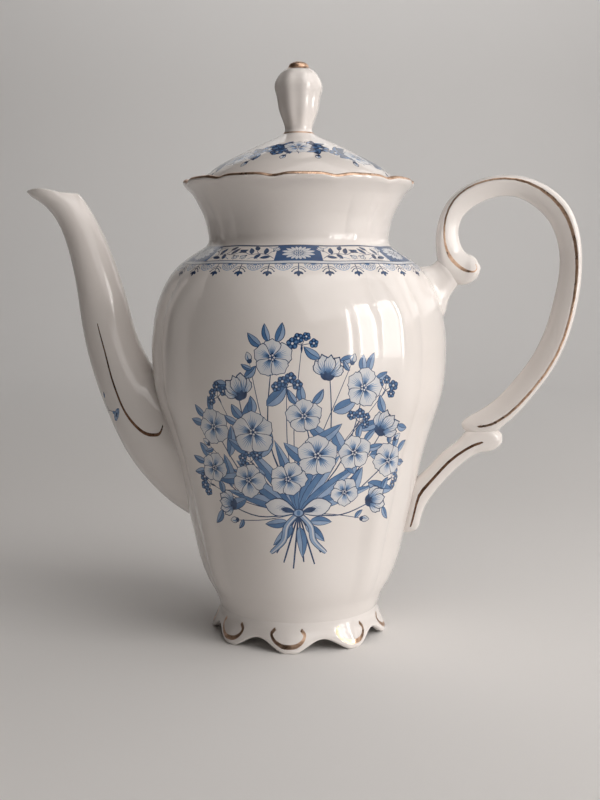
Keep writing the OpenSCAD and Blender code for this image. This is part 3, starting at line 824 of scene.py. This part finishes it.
SPOUT_LEN = len(SPOUT) * TALL


def spout_ring(s, a, t):
    """Points at angles a round a section of the spout, a wall's thickness t inside it."""
    under, upper = np.array([-s[0], s[1]]), np.array([-s[2], s[3]])
    mid, half = (under + upper) / 2, (under - upper) / 2
    k = 1 - t / np.linalg.norm(half)
    return np.stack([mid[0] + half[0] * k * np.cos(a), (s[4] - t) * np.sin(a),
                     mid[1] + half[1] * k * np.cos(a)], -1)


def on_wall(side, y, z, sunk):
    """Points of the pot's wall, sunk into it, on the side of the spout (-1) or handle (1)."""
    turn = 90 - np.degrees(np.arcsin(np.abs(y) / body_r(z)))
    dip = np.interp(z, BODY_TABLE[:, 1], BODY_TABLE[:, 2])
    r = body_r(z) - VALLEY * dip * panel_dip(turn, z) - sunk
    return np.stack([side * np.sqrt(r * r - y * y), y, z], -1)


def spout_root(a, t):
    mid = (SPOUT_TOP_Z + SPOUT_LOW_Z) / 2
    half = (SPOUT_TOP_Z - SPOUT_LOW_Z) / 2 - t
    w = (SPOUT_W / 2 - t) * (1 + ROOT_EGG * np.cos(a))
    return on_wall(-1, w * np.sin(a), mid - half * np.cos(a), ROOT_SUNK)


def spout_lip(a, t, lift):
    """The first section, whose edge rises between the beak and the back."""
    top = spout_ring(SPOUT[0], a, t)
    share = (1 + np.cos(a)) / 2
    top[:, 2] += lift + LIP_LIFT * np.maximum(0, np.sin(np.radians(270 * share - 90)))
    return top


def spout_surface(t):
    """The spout's skin, t inside its outer one."""
    def at(u, v):
        a = u / ROUND * 2 * math.pi
        rings = [spout_lip(a, t, 0)] + [spout_ring(s, a, t) for s in SPOUT[1:]]
        return lofted(rings + [spout_root(a, t)], v / TALL)

    return at


def spout_lip_at(u, v):
    a = u / ROUND * 2 * math.pi
    half = SPOUT_T / 2
    return lofted([spout_lip(a, half * t, half * lift) for t, lift in (
        (0, 0), (0.3, 0.38), (1, 0.55), (1.7, 0.38), (2, 0))], v)


def spout_end_at(u, v):
    a = u / ROUND * 2 * math.pi
    return lofted([spout_root(a, 0), spout_root(a, SPOUT_T)], v)


def rounds(count):
    """Even places once round a sheet that runs round a spout or handle."""
    return np.linspace(-ROUND / 2, ROUND / 2, count + 1)


ROUND_TUBE = rounds(64)


def mirrored_line(points, width, slot):
    """The same brush line on both sides of a spout or handle."""
    return [(stroke([(side * u, v) for u, v in points], width, 0.5), slot) for side in (-1, 1)]


GOLD_SPOUT = [
    (-13.9, 81.5), (-14.3, 93), (-13.7, 106.5), (-13.5, 118.6), (-14, 126.7), (-14.8, 136.5),
    (-15.7, 143.8), (-16.3, 147), (-17.6, 149.6),
]
SPOUT_WIDTHS = (0.6, 0.65, 0.65, 0.5, 0.4)


def sprig():
    """Small flower, bud and leaves that hang round the underside of the spout."""
    made = [(stroke([(10, 117), (7, 114), (3.5, 113.5), (0, 115.5), (-3, 118)], 0.22), DARK),
            (stroke([(7, 114), (6.6, 111.8), (7.3, 109.5)], 0.2), DARK),
            (stroke([(3.5, 113.5), (2.6, 111), (0.6, 109.6)], 0.2), DARK)]
    for x, y, turn, length in (
            (7.2, 109.7, -70, 2.4), (8.6, 115.6, 50, 2.6), (5.4, 113.8, 110, 2.8),
            (0.8, 109.8, -130, 2.4), (2, 114.4, 70, 2.8), (-3, 118, 140, 2.8)):
        made += [(blade((x, y), turn, length, 1.0, 0.9), DARK),
                 (blade((x, y), turn, 0.86 * length, 0.6, 0.9), MID)]
    for at in ((10.1, 118), (-0.4, 115.6)):
        made.append((disc(at, 2.0, 1.3, 16), DARK))
        for k in range(6):
            made += [(disc(at + polar(1, 60 * k) * (1.2, 0.8), 0.85, 0.55, 10), MID),
                     (disc(at + polar(1, 60 * k) * (1.25, 0.85), 0.5, 0.3, 8), PALE)]
        made.append((disc(at, 0.7, 0.45), DARK))
    return made


PAINT_SPOUT = [(o * [side, 1], slot) for side in (-1, 1) for o, slot in sprig()]
# The spout's gold line takes the darker gilt, which paints in shade.
PAINT_SPOUT += mirrored_line(GOLD_SPOUT, SPOUT_WIDTHS, SHADED_GILT)
make_piece("glazed_spout", [
    sheet(spout_surface(0), ROUND_TUBE, np.linspace(0, SPOUT_LEN, 103), PAINT_SPOUT),
    sheet(spout_surface(SPOUT_T), ROUND_TUBE, np.linspace(0, SPOUT_LEN, 69), inward=True),
    sheet(spout_lip_at, ROUND_TUBE, np.linspace(0, 4, 13), inward=True),
    sheet(spout_end_at, ROUND_TUBE, [0, 1]),
], ["spout"], "pot")

# ---- Handle ----

# Sections of the handle's pieces: how far out and how high their outer and inner points lie, and
# their share of the handle's width
LOOP = [
    [79, 160.6, 78.2, 163.2, 0.45], [78, 157.6, 76.9, 165.4, 0.8], [75.2, 154.9, 75, 166.8, 1],
    [71, 153.8, 72.8, 167.7, 1], [65.8, 155.4, 71.2, 169.6, 1], [61.6, 160.6, 69.9, 172.9, 1],
    [59.7, 170, 69.4, 177, 1], [60.4, 180, 70.5, 181.8, 1], [64.2, 189.2, 73, 185.2, 1],
    [70.9, 195.7, 77.1, 188.3, 1], [79.7, 199.6, 82.6, 190.8, 1], [89.2, 200.9, 89.2, 191.9, 1],
    [99, 199.4, 96, 190.7, 1], [109.2, 194.3, 103.3, 186, 1], [116.8, 186, 108.9, 179.2, 1],
    [120.8, 174.5, 112, 170, 1], [121.9, 162, 112.5, 160.8, 1], [120.7, 148, 111, 150.5, 1],
    [116.9, 132.2, 107.4, 136, 1], [110.9, 118.5, 102.1, 124, 1], [103.4, 107.6, 95.1, 114, 1],
    [96, 98.6, 87.1, 105, 1], [90.7, 93.6, 79.9, 99.6, 1], [86.5, 90.3, 74.5, 96.4, 1],
    [79.5, 88.4, 71.8, 93.7, 0.8], [76, 88.7, 72.4, 91.2, 0.45],
]
HANDLE_W = 10.5
LUTING = 1.5        # depth to which a piece sits in the pot's wall


def sunk(z):
    """Place of a section's point inside the wall at a height."""
    return [float(body_r(z)) - LUTING, z]


BRACKET = [
    [89.4, 88.4, 87, 91, 0.5], [89, 84.9, 81.8, 92.6, 0.95], [85, 81.7, 74.4, 90.6, 1],
    [78.5, 80.3, 70.3, 86.2, 1], [70.8, 74.6, 63.4, 80.6, 1], [62.6, 65.8, 56.6, 73, 1],
    [57.2, 58.2, *sunk(67), 1], [54.9, 52.8, *sunk(59), 0.95], [53.7, 47.9, *sunk(51.5), 0.85],
    [51.6, 45.4, *sunk(47), 0.7], [*sunk(44.4), *sunk(45.4), 0.4],
]
BOSS = [
    [70.6, 157, 63.6, 166, 0.8], [69.5, 154, 61, 165, 1], [68, 151.9, 59.4, 163.6, 1.05],
    [66.2, 149, 57.7, 162.5, 1.15], [65, 145.4, 55.8, 162.1, 1.3], [64.3, 142, 53.9, 161.9, 1.5],
    [*sunk(138.5), *sunk(161.5), 1.7],
]
FLAT_EDGE, FLAT_SIDE = 0.8, 0.7     # below 1 a section is squarer than an oval
TAPER_GAIN = 0.8                    # how much wider a tapered section is at its outer edge


def handle_surface(sections, taper=0.0):
    """Skin along sections. With a taper its sides lean together towards the inner edge."""
    def at(u, v):
        a = u / ROUND * 2 * math.pi
        s = spline(sections, v / TALL)
        c, n = np.cos(a), np.sin(a)
        share = np.sign(c) * np.abs(c) ** FLAT_EDGE
        mid, half = (s[:, 0:2] + s[:, 2:4]) / 2, (s[:, 0:2] - s[:, 2:4]) / 2
        p = mid + half * share[:, None]
        wide = HANDLE_W / 2 * s[:, 4] * (1 + TAPER_GAIN * taper) * (1 - taper * (1 - share))
        return np.stack([p[:, 0], wide * np.sign(n) * np.abs(n) ** FLAT_SIDE, p[:, 1]], -1)

    return at


def cap_at(edge, end, out):
    """Rounded end of a handle piece, closed over its last section."""
    centre = np.mean(edge(rounds(24)[:-1], np.full(24, end)), axis=0)

    def at(u, v):
        rim = edge(u, np.full(len(u), end))
        k = np.clip(v, 0, 1)[:, None]
        return centre + (rim - centre) * np.cos(k * math.pi / 2) \
            + np.array(out) * np.sin(k * math.pi / 2)

    return at


SECTION_STEPS, CAP_STEPS = 6, 5


def handle_piece(name, sections, paint, ends, node, taper=0.0):
    """A piece of the handle, with a cap at each end that bulges by a vector of ends."""
    count = len(sections) - 1
    top = count * TALL
    side = handle_surface(sections, taper)
    rows, over_cap = count * SECTION_STEPS + 1, np.linspace(0, 1, CAP_STEPS + 1)
    make_piece(name, [
        sheet(side, ROUND_TUBE, np.linspace(0, top, rows), paint, inward=True),
        sheet(cap_at(side, 0, ends[0]), ROUND_TUBE, over_cap),
        sheet(cap_at(side, top, ends[1]), ROUND_TUBE, over_cap, inward=True),
    ], [node], "pot")


GOLD_LOOP = [
    (17.6, 11.6), (14.7, 9.7), (13.2, 14.2), (14.4, 23.8), (15.2, 38), (13, 57), (9, 78),
    (9.8, 98), (12.4, 123), (11.5, 144), (9.6, 168), (11.9, 197), (15.2, 210),
]
GOLD_BRACKET = [(14.5, 17), (15.4, 37), (15, 55), (14.9, 76)]
LOOP_WIDTHS = (1.5, 1.3, 1.3, 1.2, 1.2, 1.4, 1.9, 2.3, 2.8, 3.0, 2.8, 2.5, 2.2)
LOOP_TAPER = 0.3
BRACKET_WIDTH = 1.5
handle_piece("glazed_loop", LOOP, mirrored_line(GOLD_LOOP, LOOP_WIDTHS, GILT),
             [(0.3, 0, 0.1), (-0.6, 0, 0.2)], "handle_loop", LOOP_TAPER)
# The bracket's gold line takes the darker gilt, which paints in shade.
handle_piece("glazed_bracket", BRACKET, mirrored_line(GOLD_BRACKET, BRACKET_WIDTH, SHADED_GILT),
             [(0.3, 0, 0.4), (0, 0, 0)], "handle_bracket")
handle_piece("glazed_boss", BOSS, [], [(0, 0, 0), (0, 0, 0)], "handle_boss")

# ---- Lid ----

LID_GAP, FLANGE_GAP, FLANGE_H, LID_T = 0.7, 0.8, 15, 3
CROWN_H, CROWN_R = 24.4, 7.0
KNOB_R, KNOB_H, FLUTES = 10.7, 31.1, 8
LID_R = SEAT_R - LID_GAP
FLANGE_R = min(MOUTH_R, NECK_R - WALL) - FLANGE_GAP
CROWN_Z = SEAT_Z + CROWN_H
LID_EDGE = (LID_R, SEAT_Z + 3.2)
LID_SHAPE = [
    (0, 0), (0.075, 0.065), (0.154, 0.123), (0.253, 0.195), (0.365, 0.283), (0.478, 0.382),
    (0.607, 0.49), (0.7, 0.572), (0.787, 0.657), (0.876, 0.765), (0.95, 0.877), (1, 1)]
LID_S, LID_TABLE = along(between((CROWN_R, CROWN_Z), LID_EDGE, LID_SHAPE))
LID_LEN = LID_S[-1]
BEVEL = 1.0                 # slants at the edges of the lid, its flange and its inside
INSIDE_STEP = 12            # the lid's inside takes one point of its table in so many
LID_IN = np.array([[p[0], p[1] - LID_T] for p in LID_TABLE[::-1]
                   if p[0] < FLANGE_R - LID_T - BEVEL][::INSIDE_STEP])
LID_IN_S = lengths(LID_IN)
LID_RADII = (LID_S, LID_TABLE[:, 0])
WREATH_V, WREATH_SWAY = 25.5, 7.5       # the wreath lies lower at the lid's sides
WREATH_STEMS = 14
WREATH_LEAF_W = 4.6


def wreath_v(angle):
    """Distance down the lid of the wreath's middle line at an angle in degrees."""
    return WREATH_V - WREATH_SWAY * math.cos(2 * math.radians(angle - FRONT))


def dark_leaf(at, turn, length, width, bend=0.2):
    """A leaf with a dark ground and a lighter half."""
    inside = (at + polar(LINE, turn), turn, length - 3 * LINE, width - 2 * LINE, 0.8, bend)
    return [(blade(at, turn, length, width, 0.8, bend), DARK),
            (blade(*inside, sides=(1, -0.35)), MID)]


def lid_wreath():
    """Flowers and leaves on a wavy stem that runs once round the lid."""
    dice = random.Random(5)
    a = np.degrees(ROUND_LID / REF)
    line = np.c_[ROUND_LID, [wreath_v(t) for t in a]]
    made = [(np.r_[line - [0, 0.3], (line + [0, 0.3])[::-1]], DARK)]
    leaves, flowers = [], []
    for k in range(WREATH_STEMS):
        angle = FRONT + 360 / WREATH_STEMS * k
        for off, turn, reach in ((7, 25, 10), (7, -30, 9), (13, 75, 8), (13, -70, 8), (18, 150, 9),
                                 (18, -155, 9)):
            motif = dark_leaf((0, 0), turn + dice.uniform(-9, 9), reach * dice.uniform(0.85, 1.1),
                              WREATH_LEAF_W)
            leaves += on_sheet(motif, angle + off, wreath_v(angle + off), LID_RADII, -1)
        if k % 2 == 0:
            motif = [(rays((0, 0), 3.0, 7.8, 16, 0, dice), DARK)]
            motif += blossom((0, 0), 6.6, dice.uniform(0, 72), dice)
        else:
            motif = floret((-1.5, 1.5), 4.2, 10) + floret((3.6, -2.6), 3.2, 40)
        flowers += on_sheet(motif, angle, wreath_v(angle), LID_RADII, -1)
        motif = [(stroke([(0, 0), (2, -5), (1, -8.5)], 0.4), DARK)] + bud((1, -8), 2.1, -100)
        flowers += on_sheet(motif, angle + 13, wreath_v(angle + 13), LID_RADII, -1)
    return made + leaves + flowers


LID_FOOT_Z = SEAT_Z - FLANGE_H
lid_sheets = [
    sheet(revolved(LID_S, LID_TABLE), ROUND_LID, np.linspace(0, LID_LEN, 24),
          lid_wreath(), inward=True),
    sheet(revolved(LID_IN_S, LID_IN), ROUND_LID, LID_IN_S, inward=True),
]
for profile in ([[0, CROWN_Z], [CROWN_R, CROWN_Z]],
                [LID_EDGE, [LID_R, SEAT_Z + BEVEL], [LID_R - 0.8 * BEVEL, SEAT_Z],
                 [FLANGE_R, SEAT_Z], [FLANGE_R, LID_FOOT_Z + BEVEL],
                 [FLANGE_R - BEVEL, LID_FOOT_Z], [FLANGE_R - LID_T, LID_FOOT_Z],
                 [FLANGE_R - LID_T, SEAT_Z], LID_IN[0]],
                [LID_IN[-1], [0, CROWN_Z - LID_T - BEVEL]]):
    lid_sheets += skins(profile, ROUND_LID, inward=True)
make_piece("glazed_lid", lid_sheets, ["lid_cover"], "lid")

# Profile of the knob in shares of its radius and height
KNOB = [
    [0.655, 0], [0.6, 0.03], [0.565, 0.06], [0.575, 0.1], [0.61, 0.14], [0.68, 0.205],
    [0.76, 0.275], [0.82, 0.34], [0.86, 0.41], [0.89, 0.48], [0.935, 0.55], [0.98, 0.6], [1, 0.65],
    [0.98, 0.7], [0.92, 0.75], [0.8, 0.815], [0.66, 0.865], [0.5, 0.9], [0.42, 0.92], [0.4, 0.945],
    [0.33, 0.975], [0.15, 1],
]
FLUTE_D = 0.047 * KNOB_R
KNOB_SCALE = 2.0
KNOB_TOP = KNOB_SCALE * (len(KNOB) - 1)
TIP_V = KNOB_SCALE * 16.6       # where the gilt tip starts
RING_V = (0.6, 1.7)             # the gilt ring at the knob's foot


def knob_at(u, v):
    a = u / REF
    p = spline(KNOB, v / KNOB_SCALE)
    flute = FLUTE_D * np.minimum(1, np.minimum(4 * p[:, 1], 7 * np.maximum(0, 0.9 - p[:, 1])))
    return ring(a, KNOB_R * p[:, 0] - flute * (1 + np.cos(FLUTES * a)) / 2,
                CROWN_Z + KNOB_H * np.minimum(p[:, 1], 1))


make_piece("glazed_knob", [
    sheet(knob_at, ROUND_KNOB, np.linspace(0, RING_V[0], 3)),
    sheet(knob_at, ROUND_KNOB, RING_V, slot=GILT),
    sheet(knob_at, ROUND_KNOB, np.linspace(RING_V[1], TIP_V, 80)),
    sheet(knob_at, ROUND_KNOB, np.linspace(TIP_V, KNOB_TOP, 14), slot=GILT),
    *skins([[KNOB_R * KNOB[-1][0], CROWN_Z + KNOB_H], [0, CROWN_Z + KNOB_H]], ROUND_KNOB,
           slot=GILT),
    *skins([[0, CROWN_Z], [KNOB_R * KNOB[0][0], CROWN_Z]], ROUND_KNOB),
], ["lid_knob"], "lid")

# ---- Floor, light and camera ----

# A sheet of paper that lies under the pot and curves up behind it, in metres
FLOOR_FRONT, DEPTH, RISE, CURVE, FLOOR_HALF = -1.6, 1.6, 1.6, 0.5, 2.5
section = [(FLOOR_FRONT, 0.0), (DEPTH - CURVE, 0.0)]
section += [(DEPTH - CURVE + CURVE * math.sin(t), CURVE - CURVE * math.cos(t))
            for t in np.linspace(0.1, math.pi / 2, 16)]
section.append((DEPTH, RISE))
floor_mesh = bpy.data.meshes.new("floor")
floor_mesh.from_pydata([(x, y, z) for y, z in section for x in (-FLOOR_HALF, FLOOR_HALF)], [],
                       [(i, i + 1, i + 3, i + 2) for i in range(0, 2 * len(section) - 2, 2)])
floor_mesh.shade_smooth()
floor = add_object("floor", floor_mesh)
floor_mesh.materials.append(new_material("paper", (0.81, 0.80, 0.79), 0.8)[0])


def area_light(name, where, aim, size, size_y, power, colour):
    """A soft rectangular light, with its places and sizes in metres."""
    data = bpy.data.lights.new(name, "AREA")
    data.shape = "RECTANGLE"
    data.size, data.size_y = size, size_y
    data.energy = power
    data.color = colour
    lamp = add_object(name, data)
    lamp.location = where
    lamp.rotation_euler = (Vector(aim) - Vector(where)).to_track_quat("-Z", "Y").to_euler()


AIM = (0, 0, 0.12)
WARM = (1.0, 0.955, 0.92)
WINDOW_AWAY = 1.15


def strip(name, azimuth, wide, low, high, power):
    """A tall pane of window light at an azimuth in degrees from the front, towards the handle."""
    a = math.radians(azimuth)
    centre = (WINDOW_AWAY * math.sin(a), -WINDOW_AWAY * math.cos(a), (low + high) / 2)
    area_light(name, centre, (0, 0, (low + high) / 2), wide, high - low, power, WARM)


strip("pane_edge", 51, 0.04, 0.02, 0.64, 1.0)
strip("pane", 63, 0.17, 0.02, 0.7, 1.8)
strip("pane_left", 58, 0.03, 0.02, 0.7, 0.75)
strip("pane_right", 68, 0.03, 0.02, 0.7, 0.75)
strip("far_pane", 76.5, 0.09, 0.02, 0.7, 2.6)
strip("side", 118, 1.2, 0.3, 1.6, 5.0)
area_light("overhead", (0.95, -1.0, 1.45), AIM, 1.8, 1.8, 12.5, (1.0, 0.975, 0.95))
area_light("above", (0.15, -0.1, 0.75), (0, 0, 0.2), 0.6, 0.6, 0.9, WARM)
area_light("backdrop", (0, 0.9, 1.6), (0, 1.6, 1.35), 1.6, 0.4, 9.0, (1.0, 1.0, 1.0))

world = bpy.data.worlds.new("room")
bpy.context.scene.world = world
world.use_nodes = True
wire(world.node_tree, world.node_tree.nodes["Background"], Color=(0.72, 0.62, 0.56, 1),
     Strength=0.06)

# The camera as worked out from the photograph: the picture's size, its focal length and the point
# that the lens looks at in pixels, then the camera's place in metres and its tilt in degrees
FRAME_W, FRAME_H = 600.0, 800.0
FOCAL_PX = 1150.0
LOOK_X, LOOK_Y = 298.6, 374.9
CAMERA_TURN, CAMERA_TILT = 6.0, 5.0
CAMERA_AWAY, CAMERA_Z = 0.5074, 0.1585
camera_data = bpy.data.cameras.new("camera")
camera_data.sensor_width = 36
camera_data.lens = camera_data.sensor_width * FOCAL_PX / FRAME_H
camera_data.shift_x = (FRAME_W / 2 - LOOK_X) / FRAME_H
camera_data.shift_y = -(FRAME_H / 2 - LOOK_Y) / FRAME_H
camera = add_object("camera", camera_data)
yaw = math.radians(CAMERA_TURN)
camera.location = (CAMERA_AWAY * math.sin(yaw), -CAMERA_AWAY * math.cos(yaw), CAMERA_Z)
camera.rotation_euler = (math.radians(90 - CAMERA_TILT), 0, yaw)
bpy.context.scene.camera = camera
bpy.context.scene.view_settings.view_transform = "Standard"
